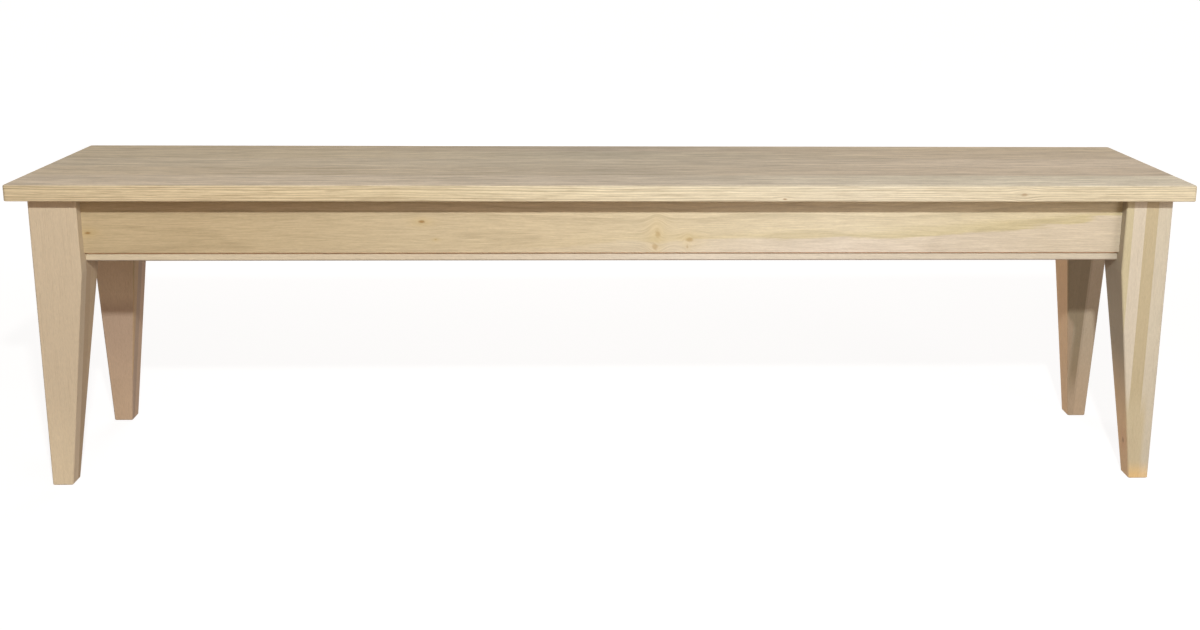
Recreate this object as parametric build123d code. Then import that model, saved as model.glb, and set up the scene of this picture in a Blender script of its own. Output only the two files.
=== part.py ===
from build123d import *
import os
from math import sqrt

# A long wooden bench: a seat glued up from five boards on four legs, each laminated from
# four strips and tapered on its two inner faces. Beaded aprons are tenoned into the legs.
# Sizes are millimetres. X runs along the bench, +Y points to its back and +Z up, and the
# origin is on the floor under the middle of the seat.

# Overall sizes
bench_length = 1828.8
bench_depth = 368.3
bench_height = 495.3

# Seat
seat_thickness = 25.4
end_overhang = 25.4  # seat past the outer end face of each leg
side_overhang = 25.4  # seat past the front or back face of each leg
seat_upper_radius = 3.0
seat_lower_radius = 1.5
seat_corner_radius = 5.5
board_joint_shares = (0.0, 0.228, 0.429, 0.641, 0.848, 1.0)  # front to back, of the depth

# Legs
leg_width = 73.0
foot_width = 31.8
taper_start = 15.7  # distance of the taper's start below the aprons
leg_edge_ease = 1.4  # flat planed on every long edge
foot_chamfer = 1.2
strip_joint_shares = (0.0, 0.3, 0.57, 0.835, 1.0)  # outer face to inner face, of the leg

# Aprons
apron_height = 104.8
apron_thickness = 20.0
apron_setback = 17.5  # from the leg's face to the apron's face
apron_edge_chamfer = 1.0

# Tenons on the aprons and their mortises in the legs
tenon_thickness = 10.0
tenon_lower_shoulder = 16.0
tenon_upper_shoulder = 22.0
tenon_spacing = 5.5  # wood between the tips of one tenon and the side of the other
cheek_gap = 0.1
tip_gap = 1.5

# Bead let into the lower outer edge of each apron
bead_height = 14.0
bead_depth = 12.5
quirk_width = 1.6
bead_end_radius = 5.5

# Buttons that hold the seat down, and the groove inside the aprons for their tongues
groove_drop = 11.0  # from the top of the apron to the groove
groove_height = 6.4
groove_depth = 8.0
button_width = 25.0
button_reach = 32.0  # from the apron's inner face
button_standoff = 3.0  # gap that lets the seat shrink and swell
tongue_gap = 0.2
tongue_length = 6.0
button_edge_chamfer = 1.5
button_place_shares = (-0.41, -0.13, 0.13, 0.41)  # of the long apron's length

# Cross rails between the long aprons
rail_thickness = 20.0
rail_height = 60.0
rail_housing = 6.0  # depth of the housing in the apron
rail_gap = 0.1
rail_place_share = 0.27  # of the long apron's length, each side of the middle
rail_screw_share = 0.28  # of the rail's length, each side of the middle
rail_screw_grip = 16.0  # wood between the screw's head and the seat
rail_edge_chamfer = 1.5

# Corner braces behind the legs
brace_thickness = 16.0
brace_height = 64.0
brace_rise = 14.0  # from the bottom of the aprons
brace_gap = 0.3  # between the brace and the flat on the leg's inner corner
leg_flat_cut = 14.0  # how far the flat runs along each inner face of the leg
brace_screw_spread = 34.0  # between the two screws at each end

# Wood screws
screw_radius = 2.1
screw_core_radius = 1.45
screw_pitch = 1.8
thread_root_shares = (0.25, 0.6)  # start and end of each groove's floor, of one pitch
thread_crest_share = 0.85
screw_point = 4.5
screw_plain_shank = 5.0
screw_head_radius = 4.1
screw_head_height = 2.6
screw_head_crown = 0.9
screw_slot_width = 1.0
screw_slot_length = 5.0
screw_slot_depth = 1.5
screw_gap = 0.1
counterbore_gap = 0.9
seat_bite = 16.0  # thread in the seat
brace_bite = 12.0  # thread in the apron

overrun = 5.0  # how far every cut runs past the wood

# Heights and places that follow from the sizes above
frame_top = bench_height - seat_thickness
apron_bottom = frame_top - apron_height
taper_top = apron_bottom - taper_start
apron_back = apron_setback + apron_thickness  # the apron's inner face, from the leg's face
tenon_start = apron_setback + (apron_thickness - tenon_thickness) / 2
tenon_length = leg_width - tenon_start - tenon_thickness - tenon_spacing
long_apron_length = bench_length - 2 * (end_overhang + leg_width)
end_apron_length = bench_depth - 2 * (side_overhang + leg_width)
long_apron_face = bench_depth / 2 - side_overhang - apron_setback
end_apron_face = bench_length / 2 - end_overhang - apron_setback
long_apron_inside = long_apron_face - apron_thickness
end_apron_inside = end_apron_face - apron_thickness
hole_radius = screw_radius + screw_gap
counterbore_radius = screw_head_radius + counterbore_gap
button_thickness = groove_drop + groove_height
button_screw_reach = (button_standoff + button_reach) / 2
leg_flat = 2 * leg_width - leg_flat_cut  # x + y on the flat, in the corner frame
brace_near = leg_flat + brace_gap * sqrt(2)  # x + y on the brace's face to the leg
brace_far = brace_near + brace_thickness * sqrt(2)
brace_screw_place = (brace_near + brace_far) / 2 - apron_back
brace_screw_seat = brace_thickness * sqrt(2) / 2 - counterbore_radius - brace_gap
brace_middle = apron_bottom + brace_rise + brace_height / 2
rail_length = 2 * (long_apron_inside + rail_housing - rail_gap)
board_names = ("front", "front_middle", "middle", "back_middle", "back")
corners = (
    ("front_left", -1, -1),
    ("front_right", 1, -1),
    ("back_left", -1, 1),
    ("back_right", 1, 1),
)


def block(low, high):
    """A box between two opposite corners."""
    size = [b - a for a, b in zip(low, high)]
    middle = [(a + b) / 2 for a, b in zip(low, high)]
    return Pos(*middle) * Box(*size)


def upright_hole(x, y, z_low, z_high, radius):
    """A round cutter that stands upright."""
    return Pos(x, y, (z_low + z_high) / 2) * Cylinder(radius, z_high - z_low)


def level_hole(x, y_low, y_high, z, radius):
    """A round cutter along Y."""
    return Pos(x, (y_low + y_high) / 2, z) * Rot(90, 0, 0) * Cylinder(radius, y_high - y_low)


def one_solid(shape):
    """The largest solid of a cut, without slivers or wrappers."""
    return max(shape.solids(), key=lambda s: s.volume)


def to_corner(shape, side, face):
    """Moves a piece from the corner frame to a corner of the bench.

    In the corner frame the leg's outer corner is at the origin, and X and Y run inwards.
    """
    if side > 0:
        shape = mirror(shape, about=Plane.YZ)
    if face > 0:
        shape = mirror(shape, about=Plane.XZ)
    x = side * (bench_length / 2 - end_overhang)
    y = face * (bench_depth / 2 - side_overhang)
    return Pos(x, y, 0) * shape


# Screws

def wood_screw(length):
    """A screw with its head's seat at the origin, pointing down. Its thread is a row of rings."""
    thread_top = -min(screw_plain_shank, length / 3)
    thread_bottom = -(length - screw_point)
    turns = max(2, round((thread_top - thread_bottom) / screw_pitch))
    step = (thread_bottom - thread_top) / turns
    outline = [(0, screw_head_height), (screw_head_radius - screw_head_crown, screw_head_height)]
    outline += [(screw_head_radius, screw_head_height - screw_head_crown), (screw_head_radius, 0)]
    outline += [(screw_radius, 0), (screw_radius, thread_top)]
    for turn in range(turns):
        ring_top = thread_top + step * turn
        outline += [(screw_core_radius, ring_top + step * share) for share in thread_root_shares]
        outline += [(screw_radius, ring_top + step * thread_crest_share), (screw_radius, ring_top + step)]
    outline += [(screw_core_radius, thread_bottom - screw_point / 4), (0, -length)]
    profile = make_face(Plane.XZ * Polyline(*outline, close=True))
    body = revolve(profile, Axis.Z)
    slot = Pos(0, 0, screw_head_height) * Box(
        screw_slot_length, screw_slot_width, 2 * screw_slot_depth
    )
    return one_solid(body - slot - Rot(0, 0, 90) * slot)


# Places that both the screws and their holes use

def button_places():
    """(x, y, turn) of each button's apron contact: the tongue points along the turned -Y."""
    places = [(s * long_apron_length, -long_apron_inside, 0) for s in button_place_shares]
    places += [(s * long_apron_length, long_apron_inside, 180) for s in button_place_shares]
    places += [(-end_apron_inside, 0, -90), (end_apron_inside, 0, 90)]
    return places


def rail_places():
    return [-rail_place_share * long_apron_length, rail_place_share * long_apron_length]


def seat_screw_places():
    """(x, y) of every screw that enters the seat from below."""
    places = []
    for x, y, turn in button_places():
        spot = Pos(x, y, 0) * Rot(0, 0, turn) * Pos(0, button_screw_reach, 0)
        places.append((spot.position.X, spot.position.Y))
    for x in rail_places():
        places += [(x, -rail_screw_share * rail_length), (x, rail_screw_share * rail_length)]
    return places


def brace_screw_heights():
    return [brace_middle - brace_screw_spread / 2, brace_middle + brace_screw_spread / 2]


# Seat

def seat_slab():
    """The whole seat before it is parted into its boards."""
    slab = block(
        (-bench_length / 2, -bench_depth / 2, frame_top),
        (bench_length / 2, bench_depth / 2, bench_height),
    )
    slab = fillet(slab.edges().filter_by(Axis.Z), seat_corner_radius)
    slab = fillet(slab.edges().group_by(Axis.Z)[0], min(seat_lower_radius, seat_thickness / 3))
    slab = fillet(slab.edges().group_by(Axis.Z)[-1], min(seat_upper_radius, seat_thickness / 3))
    for x, y in seat_screw_places():
        slab -= upright_hole(x, y, frame_top - overrun, frame_top + seat_bite, hole_radius)
    return slab


def seat_boards():
    slab = seat_slab()
    for name, low, high in zip(board_names, board_joint_shares, board_joint_shares[1:]):
        strip = block(
            (-bench_length / 2 - overrun, (low - 0.5) * bench_depth, frame_top - overrun),
            (bench_length / 2 + overrun, (high - 0.5) * bench_depth, bench_height + overrun),
        )
        yield "seat_board_" + name, one_solid(slab & strip)


# Legs, in the corner frame

def leg_ring(z, inset=0):
    """Corners of the leg's cross-section at one height: a square with its corners eased.

    Two sides stand upright and the other two taper below the aprons.
    """
    low = inset
    high = foot_width + (leg_width - foot_width) * min(z / taper_top, 1) - inset
    near = low + leg_edge_ease
    far = high - leg_edge_ease
    corners_around = [
        (near, low), (far, low), (high, near), (high, far),
        (far, high), (near, high), (low, far), (low, near),
    ]
    return [(x, y, z) for x, y in corners_around]


def solid_through(rings):
    """A solid with flat faces through rings that all have as many corners."""
    outlines = [rings[0], rings[-1]]
    for lower, upper in zip(rings, rings[1:]):
        for here, there in zip(range(-1, len(lower)), range(len(lower))):
            outlines.append([lower[here], lower[there], upper[there], upper[here]])
    faces = [make_face(Polyline(*outline, close=True)).face() for outline in outlines]
    return Solid(Shell(faces))


def mortise():
    """The cutter for the tenon that enters the leg along X."""
    return block(
        (leg_width - tenon_length - tip_gap, tenon_start - cheek_gap,
         apron_bottom + tenon_lower_shoulder - cheek_gap),
        (leg_width + overrun, tenon_start + tenon_thickness + cheek_gap,
         frame_top - tenon_upper_shoulder + cheek_gap),
    )


def leg_blank():
    """The whole leg, with its mortises and the flat on its inner corner for the brace."""
    leg = solid_through(
        [leg_ring(0, foot_chamfer), leg_ring(foot_chamfer), leg_ring(taper_top), leg_ring(frame_top)]
    )
    swap = Plane(origin=(0, 0, 0), z_dir=(1, -1, 0))
    flat_outline = [
        (leg_width + overrun, leg_flat - leg_width - overrun),
        (leg_width + overrun, leg_width + overrun),
        (leg_flat - leg_width - overrun, leg_width + overrun),
    ]
    corner = make_face(Polyline(*flat_outline, close=True))
    corner = Pos(0, 0, apron_bottom) * extrude(corner, apron_height + overrun, dir=(0, 0, 1))
    return one_solid(leg - mortise() - mirror(mortise(), about=swap) - corner)


def leg_strips(name, side, face):
    """The leg's four strips. The right legs show their edges in front, the left ones inside."""
    leg = leg_blank()
    reach = leg_width + overrun
    for count, (low, high) in enumerate(zip(strip_joint_shares, strip_joint_shares[1:]), 1):
        start = low * leg_width if low > 0 else -overrun
        end = high * leg_width if high < 1 else reach
        if side > 0:
            slab = block((start, -overrun, -overrun), (end, reach, bench_height))
        else:
            slab = block((-overrun, start, -overrun), (reach, end, bench_height))
        yield f"leg_{name}_strip_{count}", to_corner(one_solid(leg & slab), side, face)


# Aprons, each made with its outer face on the XZ plane and its inside towards +Y

def apron(length, rails):
    half = length / 2
    body = block((-half, 0, apron_bottom), (half, apron_thickness, frame_top))
    inner_lower = body.edges().filter_by(Axis.X).group_by(Axis.Z)[0].sort_by(Axis.Y)[-1]
    body = chamfer(inner_lower, apron_edge_chamfer)
    tenon_low = (apron_thickness - tenon_thickness) / 2
    body += block(
        (-half - tenon_length, tenon_low, apron_bottom + tenon_lower_shoulder),
        (half + tenon_length, tenon_low + tenon_thickness, frame_top - tenon_upper_shoulder),
    )
    body -= block(
        (-half, -overrun, apron_bottom - overrun), (half, bead_depth, apron_bottom + bead_height)
    )
    body -= block(
        (-half, apron_thickness - groove_depth, frame_top - groove_drop - groove_height),
        (half, apron_thickness + overrun, frame_top - groove_drop),
    )
    for x in rails:
        body -= block(
            (x - rail_thickness / 2 - rail_gap, apron_thickness - rail_housing,
             frame_top - rail_height - rail_gap),
            (x + rail_thickness / 2 + rail_gap, apron_thickness + overrun, frame_top + overrun),
        )
    brace_x = half + leg_width - brace_screw_place
    for x in (-brace_x, brace_x):
        for z in brace_screw_heights():
            body -= level_hole(x, apron_thickness - brace_bite, apron_thickness + overrun, z, hole_radius)
    return one_solid(body)


def bead(length):
    """A strip with a half-round nose, a quirk above it and rounded ends to the nose."""
    half = length / 2
    nose = (bead_height - quirk_width) / 2
    bottom = apron_bottom
    nose_top = bottom + 2 * nose
    back = block((-half, nose, bottom), (half, bead_depth, bottom + bead_height))
    flat = Polyline((nose, nose_top), (bead_depth, nose_top), (bead_depth, bottom), (nose, bottom))
    arc = ThreePointArc((nose, bottom), (0, bottom + nose), (nose, nose_top))
    section = make_face(Plane.YZ * Curve([flat, arc]))
    front = Pos(-half, 0, 0) * extrude(section, length, dir=(1, 0, 0))
    outline = block((-half, -overrun, bottom), (half, bead_depth, nose_top))
    end_radius = min(bead_end_radius, nose - cheek_gap)
    outline = fillet(outline.edges().filter_by(Axis.Y), end_radius)
    return one_solid(back + (front & outline))


def apron_set():
    """(name, apron, bead) for the four sides, in place."""
    rails = rail_places()
    sides = (
        ("front", long_apron_length, rails, 0, -long_apron_face, 0),
        ("back", long_apron_length, rails, 0, long_apron_face, 180),
        ("left_end", end_apron_length, [], -end_apron_face, 0, -90),
        ("right_end", end_apron_length, [], end_apron_face, 0, 90),
    )
    for name, length, housings, x, y, turn in sides:
        move = Pos(x, y, 0) * Rot(0, 0, turn)
        yield name, move * apron(length, housings), move * bead(length)


# Pieces inside the frame

def cross_rail(x):
    rail = block(
        (x - rail_thickness / 2, -rail_length / 2, frame_top - rail_height),
        (x + rail_thickness / 2, rail_length / 2, frame_top),
    )
    lower = rail.edges().filter_by(Axis.Y).group_by(Axis.Z)[0]
    rail = chamfer(lower, rail_edge_chamfer)
    for y in (-rail_screw_share * rail_length, rail_screw_share * rail_length):
        rail -= upright_hole(x, y, frame_top - rail_height - overrun, frame_top + overrun, hole_radius)
        rail -= upright_hole(
            x, y, frame_top - rail_height - overrun, frame_top - rail_screw_grip, counterbore_radius
        )
    return one_solid(rail)


def corner_brace():
    """A diagonal block behind the leg, in the corner frame."""
    outline = [
        (brace_near - apron_back, apron_back),
        (brace_far - apron_back, apron_back),
        (apron_back, brace_far - apron_back),
        (apron_back, brace_near - apron_back),
    ]
    low = apron_bottom + brace_rise
    brace = Pos(0, 0, low) * extrude(make_face(Polyline(*outline, close=True)), brace_height)
    swap = Plane(origin=(0, 0, 0), z_dir=(1, -1, 0))
    for z in brace_screw_heights():
        shank = level_hole(brace_screw_place, apron_back - overrun, brace_far, z, hole_radius)
        seat = level_hole(
            brace_screw_place, apron_back + brace_screw_seat, brace_far, z, counterbore_radius
        )
        cutter = shank + seat
        brace -= cutter
        brace -= mirror(cutter, about=swap)
    return one_solid(brace)


def brace_screws():
    """The four screws of one corner brace, in the corner frame."""
    screw = wood_screw(brace_screw_seat + brace_bite - screw_gap)
    swap = Plane(origin=(0, 0, 0), z_dir=(1, -1, 0))
    for z in brace_screw_heights():
        place = Pos(brace_screw_place, apron_back + brace_screw_seat, z) * Rot(-90, 0, 0)
        placed = place * screw
        yield placed
        yield mirror(placed, about=swap)


def seat_button():
    """A block with a tongue, seen with the apron's inner face on the XZ plane."""
    half = button_width / 2
    body = block(
        (-half, button_standoff, frame_top - button_thickness), (half, button_reach, frame_top)
    )
    inner_lower = body.edges().filter_by(Axis.X).group_by(Axis.Z)[0].sort_by(Axis.Y)[-1]
    body = chamfer(inner_lower, button_edge_chamfer)
    body += block(
        (-half, -tongue_length, frame_top - button_thickness + tongue_gap),
        (half, button_standoff + overrun, frame_top - groove_drop - tongue_gap),
    )
    body -= upright_hole(
        0, button_screw_reach, frame_top - button_thickness - overrun, frame_top + overrun, hole_radius
    )
    return one_solid(body)


def upward_screw(x, y, z, length):
    """A screw whose head's seat is at that place, driven upwards."""
    return Pos(x, y, z) * Rot(180, 0, 0) * wood_screw(length)


def make_parts():
    """Every sub-part by name, each one solid or a list of like solids."""
    parts = dict(seat_boards())
    for name, side, face in corners:
        parts.update(leg_strips(name, side, face))
    for name, board, strip in apron_set():
        parts["apron_" + name] = board
        parts["bead_" + name] = strip
    for name, x in zip(("left", "right"), rail_places()):
        parts["cross_rail_" + name] = cross_rail(x)
    for name, side, face in corners:
        parts["corner_brace_" + name] = to_corner(corner_brace(), side, face)
    button_names = [f"seat_button_{row}_{n}" for row in ("front", "back") for n in range(1, 5)]
    button_names += ["seat_button_left_end", "seat_button_right_end"]
    for name, (x, y, turn) in zip(button_names, button_places()):
        parts[name] = Pos(x, y, 0) * Rot(0, 0, turn) * seat_button()
    places = seat_screw_places()
    button_count = len(button_places())
    button_screw_length = button_thickness + seat_bite - screw_gap
    parts["button_screws"] = [
        upward_screw(x, y, frame_top - button_thickness, button_screw_length)
        for x, y in places[:button_count]
    ]
    rail_screw_length = rail_screw_grip + seat_bite - screw_gap
    parts["rail_screws"] = [
        upward_screw(x, y, frame_top - rail_screw_grip, rail_screw_length)
        for x, y in places[button_count:]
    ]
    parts["brace_screws"] = [
        to_corner(screw, side, face) for _, side, face in corners for screw in brace_screws()
    ]
    return parts


os.makedirs("parts", exist_ok=True)
for part_name, shape in make_parts().items():
    if isinstance(shape, list):
        shape = Compound(children=[one_solid(s) for s in shape])
    export_step(shape, os.path.join("parts", part_name + ".step"))
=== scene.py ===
import math

import bmesh
import bpy
from mathutils import Matrix, Vector


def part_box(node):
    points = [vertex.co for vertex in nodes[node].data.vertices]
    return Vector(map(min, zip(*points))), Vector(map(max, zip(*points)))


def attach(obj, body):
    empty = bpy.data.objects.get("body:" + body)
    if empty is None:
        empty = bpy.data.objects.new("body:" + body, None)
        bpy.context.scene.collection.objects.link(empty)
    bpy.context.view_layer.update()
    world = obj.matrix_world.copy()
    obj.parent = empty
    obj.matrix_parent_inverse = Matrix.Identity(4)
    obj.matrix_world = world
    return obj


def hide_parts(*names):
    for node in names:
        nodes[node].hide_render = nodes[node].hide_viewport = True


# The bench as it is packed. All sizes are metres, in the bench's own frame: X along it, Z up.
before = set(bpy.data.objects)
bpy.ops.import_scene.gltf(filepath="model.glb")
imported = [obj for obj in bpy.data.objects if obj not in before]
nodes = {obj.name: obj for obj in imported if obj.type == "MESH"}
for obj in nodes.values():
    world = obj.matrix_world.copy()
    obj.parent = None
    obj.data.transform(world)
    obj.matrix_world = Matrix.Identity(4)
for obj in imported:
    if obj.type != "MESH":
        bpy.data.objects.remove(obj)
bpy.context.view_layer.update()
print("bench loaded,", len(nodes), "nodes")


# Small helpers for shader trees

def screenColour(red, green, blue):  # 0 to 255, as read off a screen
    shares = [channel / 255 for channel in (red, green, blue)]
    linear = [s / 12.92 if s < 0.04045 else ((s + 0.055) / 1.055) ** 2.4 for s in shares]
    return (*linear, 1.0)


def feed(socket, value):  # links a socket, or sets a plain value
    if isinstance(value, bpy.types.NodeSocket):
        socket.id_data.links.new(value, socket)
    else:
        socket.default_value = value


def addNode(tree, kind, inputs=None, **settings):
    node = tree.nodes.new(kind)
    for key, value in settings.items():
        setattr(node, key, value)
    for key, value in (inputs or {}).items():
        feed(node.inputs[key], value)
    return node


def treeOf(values):  # the node tree that holds them
    return next(value.id_data for value in values if isinstance(value, bpy.types.NodeSocket))


def calc(operation, *values, clamp=False):
    node = addNode(treeOf(values), "ShaderNodeMath", operation=operation, use_clamp=clamp)
    for socket, value in zip(node.inputs, values):
        feed(socket, value)
    return node.outputs[0]


def vectorCalc(operation, *values):
    node = addNode(treeOf(values), "ShaderNodeVectorMath", operation=operation)
    for socket, value in zip(node.inputs, values):
        feed(socket, value)
    return node.outputs["Value" if operation in ("LENGTH", "DOT_PRODUCT") else "Vector"]


def plus(first, second, clamp=False):
    return calc("ADD", first, second, clamp=clamp)


def minus(first, second):
    return calc("SUBTRACT", first, second)


def times(first, second):
    return calc("MULTIPLY", first, second)


def scaled(vector, gain):
    return vectorCalc("MULTIPLY", vector, gain)


def split(vector):  # its X, Y and Z
    return addNode(vector.id_data, "ShaderNodeSeparateXYZ", {0: vector}).outputs


def remap(value, low, high, toLow=0.0, toHigh=1.0):  # smooth, and held at both ends
    inputs = {0: value, 1: low, 2: high, 3: toLow, 4: toHigh}
    return addNode(value.id_data, "ShaderNodeMapRange", inputs, interpolation_type="SMOOTHSTEP").outputs[0]


def mixColour(share, first, second):
    inputs = {0: share, 6: first, 7: second}
    return addNode(share.id_data, "ShaderNodeMix", inputs, data_type="RGBA").outputs[2]


def tint(colour, share, gain):  # multiplies the colour where the share is 1
    return scaled(colour, mixColour(share, (1.0, 1.0, 1.0, 1.0), gain))


def facing(tree, direction):  # how squarely a face looks one way, from -1 to 1
    normal = addNode(tree, "ShaderNodeNewGeometry").outputs["Normal"]
    return vectorCalc("DOT_PRODUCT", normal, direction)


def noise(place, stretch, detail=2.0, rough=0.5, output=0):  # stretch is in features per metre
    spread = scaled(place, stretch)
    inputs = {"Vector": spread, "Scale": 1.0, "Detail": detail, "Roughness": rough}
    return addNode(place.id_data, "ShaderNodeTexNoise", inputs).outputs[output]


def lineNoise(value):  # noise along one number
    inputs = {"W": value, "Scale": 1.0, "Detail": 1.0}
    return addNode(value.id_data, "ShaderNodeTexNoise", inputs, noise_dimensions="1D").outputs[0]


def newGroup(name, kind, inputs, outputs):  # each label comes with its kind or its first value
    tree = bpy.data.node_groups.new(name, kind + "NodeTree")
    for way, sockets in (("INPUT", inputs), ("OUTPUT", outputs)):
        for label, first in sockets.items():
            named = isinstance(first, str)
            socketType = "NodeSocket" + (first if named else valueKind(first))
            socket = tree.interface.new_socket(name=label, in_out=way, socket_type=socketType)
            if not named:
                socket.default_value = first
    return tree, tree.nodes.new("NodeGroupInput").outputs, tree.nodes.new("NodeGroupOutput").inputs


colourOnly = {"Colour": "Color"}


def valueKind(value):
    return "Float" if isinstance(value, float) else "Vector" if len(value) == 3 else "Color"


def addGroup(tree, group, inputs):
    return addNode(tree, "ShaderNodeGroup", inputs, node_tree=group).outputs


# Marks per metre along the grain and across it, detail, roughness, and where a mark starts and is full
grainMarks = {
    "Streak": ((7, 95, 95), 5.0, 0.62, None),
    "Line": ((22, 520, 520), 3.0, 0.6, None),
    "Fibre": ((150, 640, 640), 2.0, 0.5, None),
    "Dash": ((16, 560, 560), 2.0, 0.5, (0.54, 0.68)),
    "Pore": ((70, 2300, 2300), 1.0, 0.5, (0.58, 0.74)),
    "Cloud": ((1.1, 7, 7), 2.0, 0.5, None),
}

grainLabels = ("Ring", *grainMarks, "End Grain")
grainSway = (1.5, 7, 7)
grainStrengths = ("Ring", "Streak", "Line", "Dash", "Cloud", "Fibre")


# Growth rings about a pith line, streaks, fibres and pores. X runs along the grain.
def makeGrainField():
    inputs = {"Place": "Vector", "Axis": (1.0, 0.0, 0.0), "Seed": 0.0, "Pith Across": 0.05}
    inputs.update({"Pith Deep": -0.1, "Ring Width": 0.004, "Wander": 0.01})
    tree, given, result = newGroup("grainField", "Shader", inputs, dict.fromkeys(grainLabels, "Float"))
    seedShift = scaled(given["Seed"], (3.1, 7.7, 5.3))
    shifted = vectorCalc("ADD", given["Place"], seedShift)
    sway = noise(shifted, grainSway, 3.0, output=1)
    sway = vectorCalc("SUBTRACT", sway, (0.5, 0.5, 0.5))
    sway = scaled(sway, given["Wander"])
    place = vectorCalc("ADD", given["Place"], sway)
    shifted = vectorCalc("ADD", shifted, sway)
    _, y, z = split(place)
    across = minus(y, given["Pith Across"])
    deep = minus(z, given["Pith Deep"])
    squares = plus(times(across, across), times(deep, deep))
    count = calc("DIVIDE", calc("SQRT", squares), given["Ring Width"])
    uneven = lineNoise(calc("MULTIPLY_ADD", count, 0.31, given["Seed"]))
    count = calc("MULTIPLY_ADD", uneven, 1.6, count)
    share = calc("FRACT", count)
    late = calc("POWER", share, 2.2)  # each ring darkens slowly and ends sharply
    late = times(late, remap(share, 0.88, 1.0, 1.0, 0.0))
    year = calc("MULTIPLY_ADD", calc("FLOOR", count), 1.73, given["Seed"])
    late = times(late, remap(lineNoise(year), 0.35, 0.65, 0.3, 1.0))
    feed(result["Ring"], late)
    for label, (stretch, detail, rough, reach) in grainMarks.items():
        value = noise(shifted, stretch, detail, rough)
        feed(result[label], remap(value, *reach) if reach else value)
    endOn = calc("ABSOLUTE", facing(tree, given["Axis"]))
    feed(result["End Grain"], remap(endOn, 0.6, 0.95))
    return tree


# A knot bends the grain round itself, and has a core and a halo
def makeKnotField():
    inputs = {"Place": "Vector", "Centre": (0.0, 0.0, 0.0), "Stretch": (0.45, 0.0, 1.0), "Size": 0.006}
    outputs = {"Place": "Vector", "Core": "Float", "Halo": "Float"}
    tree, given, result = newGroup("knotField", "Shader", inputs, outputs)
    offset = vectorCalc("SUBTRACT", given["Place"], given["Centre"])
    flat = vectorCalc("DIVIDE", scaled(offset, given["Stretch"]), given["Size"])
    distance = vectorCalc("LENGTH", flat)
    ragged = noise(given["Place"], (90, 260, 260), 2.0)
    edge = plus(distance, calc("MULTIPLY_ADD", ragged, 1.4, -0.7))
    feed(result["Core"], remap(edge, 0.2, 1.0, 1.0, 0.0))
    halo = calc("EXPONENT", times(times(distance, distance), -0.16))
    feed(result["Halo"], halo)
    squeeze = scaled(offset, (0.0, 0.75, 0.75))
    bent = vectorCalc("SUBTRACT", given["Place"], scaled(squeeze, halo))
    feed(result["Place"], bent)
    return tree


# Turns the grain's values into a colour, a roughness and a height
def makeWoodColour():
    inputs = dict.fromkeys(("Pale", "Tan", "Dark"), (0.8, 0.8, 0.8, 1.0))
    inputs.update(dict.fromkeys(grainLabels, 0.0))
    inputs.update({label + " Strength": 1.0 for label in grainStrengths})
    inputs["Base Roughness"] = 0.6
    outputs = {"Colour": "Color", "Roughness": "Float", "Height": "Float"}
    tree, given, result = newGroup("woodColour", "Shader", inputs, outputs)
    streak, cloud, line, fibre = [
        times(minus(given[label], 0.5), given[label + " Strength"])
        for label in ("Streak", "Cloud", "Line", "Fibre")
    ]
    ring = times(given["Ring"], given["Ring Strength"])
    depth = plus(plus(streak, cloud), plus(ring, line))
    depth = plus(depth, 0.45, clamp=True)
    colour = mixColour(depth, given["Pale"], given["Tan"])
    dash = times(given["Dash"], given["Dash Strength"])
    colour = mixColour(dash, colour, given["Dark"])
    shade = calc("MULTIPLY_ADD", given["Pore"], -0.06, plus(fibre, 1.0))
    shade = times(shade, calc("MULTIPLY_ADD", given["End Grain"], -0.14, 1.0))
    feed(result["Colour"], scaled(colour, shade))
    wave = minus(given["Fibre"], 0.5)
    rough = calc("MULTIPLY_ADD", wave, 0.2, given["Base Roughness"])
    feed(result["Roughness"], calc("MULTIPLY_ADD", given["Dash"], 0.08, rough, clamp=True))
    relief = calc("MULTIPLY_ADD", given["Dash"], -0.6, times(given["Fibre"], 0.6))
    relief = calc("MULTIPLY_ADD", given["Pore"], -0.5, relief)
    relief = calc("MULTIPLY_ADD", given["Line"], 0.5, relief)
    feed(result["Height"], calc("MULTIPLY_ADD", given["Streak"], 0.8, relief))
    return tree


# The colours that a knot lays over its board
def makeKnotTint():
    inputs = {"Colour": "Color", "Core": 0.0, "Halo": 0.0, "Darkness": 0.8}
    inputs.update({"Core Tone": (0.3, 0.2, 0.1, 1.0), "Halo Tone": (0.5, 0.4, 0.2, 1.0)})
    tree, given, result = newGroup("knotTint", "Shader", inputs, colourOnly)
    halo = times(given["Halo"], times(given["Darkness"], 0.5))
    colour = mixColour(halo, given["Colour"], given["Halo Tone"])
    core = times(given["Core"], given["Darkness"])
    feed(result["Colour"], mixColour(core, colour, given["Core Tone"]))
    return tree


toneStops = 5


# Lets a board's tone change along the bench, evenly from stop to stop. The stops hold the wood's own tone
# and also painted light that leaves the left end darker than the right
def makeToneRun():
    inputs = {"Colour": "Color", "Place": "Vector"}
    for stop in range(toneStops):
        inputs.update({f"Stop {stop + 1}": float(stop), f"Gain {stop + 1}": (1.0, 1.0, 1.0)})
    tree, given, result = newGroup("toneRun", "Shader", inputs, colourOnly)
    along = split(given["Place"])["X"]
    gain = given["Gain 1"]
    for stop in range(1, toneStops):
        reach = {0: along, 1: given[f"Stop {stop}"], 2: given[f"Stop {stop + 1}"]}
        share = addNode(tree, "ShaderNodeMapRange", reach).outputs[0]
        gain = mixColour(share, gain, given[f"Gain {stop + 1}"])
    feed(result["Colour"], scaled(given["Colour"], gain))
    return tree


grainField = makeGrainField()
knotField = makeKnotField()
woodColour = makeWoodColour()
knotTint = makeKnotTint()
toneRun = makeToneRun()
print("shader groups made")


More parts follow.
